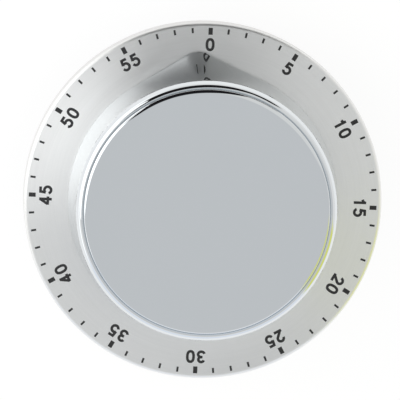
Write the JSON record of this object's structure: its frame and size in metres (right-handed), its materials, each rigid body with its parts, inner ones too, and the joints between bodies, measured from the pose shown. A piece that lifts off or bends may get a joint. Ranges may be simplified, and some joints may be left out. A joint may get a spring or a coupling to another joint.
{
  "type": "kitchen timer",
  "caption": "Round wind-up kitchen timer with a fixed brushed dial ring, a polished turning knob with a pointer prow, and a clockwork bell movement.",
  "frame": {"origin": "centre of the back, on the surface it lies on", "axes": "+Z out of the dial, +Y towards the 0 mark"},
  "size_m": [0.08, 0.08, 0.0409],
  "materials": {
    "black_plastic": "fine matt moulded",
    "grey_plastic": "matt moulded",
    "rubber": "matt",
    "magnet": "plated, dull",
    "brushed_steel": "brushed in circles",
    "polished_steel": "mirror polished",
    "plain_steel": "bright, lightly brushed",
    "bell_steel": "bright",
    "spring_steel": "blued",
    "brass": "satin"
  },
  "bodies": {
    "case": {"housing": "black_plastic", "rest_ring": "rubber", "magnet_left": "magnet", "magnet_right": "magnet", "dial_carrier": "grey_plastic", "dial_ring": "brushed_steel", "case_screw_1": "plain_steel", "case_screw_2": "plain_steel", "case_screw_3": "plain_steel", "bell": "bell_steel", "bell_screw": "plain_steel", "rear_plate": "brass", "front_plate": "brass", "pillar_lower": "brass", "pillar_right": "brass", "pillar_left": "brass", "movement_screw_1": "plain_steel", "movement_screw_2": "plain_steel", "movement_screw_3": "plain_steel", "mainspring": "spring_steel", "hammer_spring": "spring_steel"},
    "knob": {"knob_body": "polished_steel", "knob_cap": "polished_steel", "knob_hub": "grey_plastic", "main_arbor": "plain_steel", "arbor_collar": "brass", "great_wheel": "brass", "clutch_washer": "spring_steel", "trip_cam": "brass"},
    "second_arbor": {"second_wheel": "brass", "second_pinion": "plain_steel"},
    "third_arbor": {"third_wheel": "brass", "third_pinion": "plain_steel"},
    "escape_arbor": {"escape_wheel": "brass", "escape_pinion": "plain_steel"},
    "verge": {"verge_lever": "brass", "verge_arbor": "plain_steel", "verge_weight": "brass"},
    "hammer": {"hammer_arm": "plain_steel", "hammer_head": "brass", "hammer_arbor": "plain_steel", "trip_lever": "plain_steel"}
  },
  "joints": [
    {"name": "knob_turn", "type": "hinge", "parent": "case", "child": "knob", "pos_m": [0, 0, 0.0224], "axis": [0, 0, -1], "range_deg": [0, 355.2]},
    {"name": "second_arbor_turn", "type": "hinge", "parent": "case", "child": "second_arbor", "pos_m": [-0.01151, -0.00419, 0.02], "axis": [0, 0, -1], "range_deg": [-2131.2, 0]},
    {"name": "third_arbor_turn", "type": "hinge", "parent": "case", "child": "third_arbor", "pos_m": [-0.00554, -0.01092, 0.02], "axis": [0, 0, -1], "range_deg": [0, 10656]},
    {"name": "escape_arbor_turn", "type": "hinge", "parent": "case", "child": "escape_arbor", "pos_m": [0.00342, -0.01176, 0.02], "axis": [0, 0, -1], "range_deg": [-53280, 0]},
    {"name": "verge_rock", "type": "hinge", "parent": "case", "child": "verge", "pos_m": [0.01042, -0.00935, 0.02], "axis": [0, 0, 1], "range_deg": [-8, 8]},
    {"name": "hammer_strike", "type": "hinge", "parent": "case", "child": "hammer", "pos_m": [0, 0.018, 0.02], "axis": [0, 0, 1], "range_deg": [-3, 4.8], "stiffness_Nm_per_rad": 0.0003}
  ],
  "couplings": [
    {"joint": "second_arbor_turn", "follows": "knob_turn", "ratio": -6},
    {"joint": "third_arbor_turn", "follows": "knob_turn", "ratio": 30},
    {"joint": "escape_arbor_turn", "follows": "knob_turn", "ratio": -150}
  ]
}
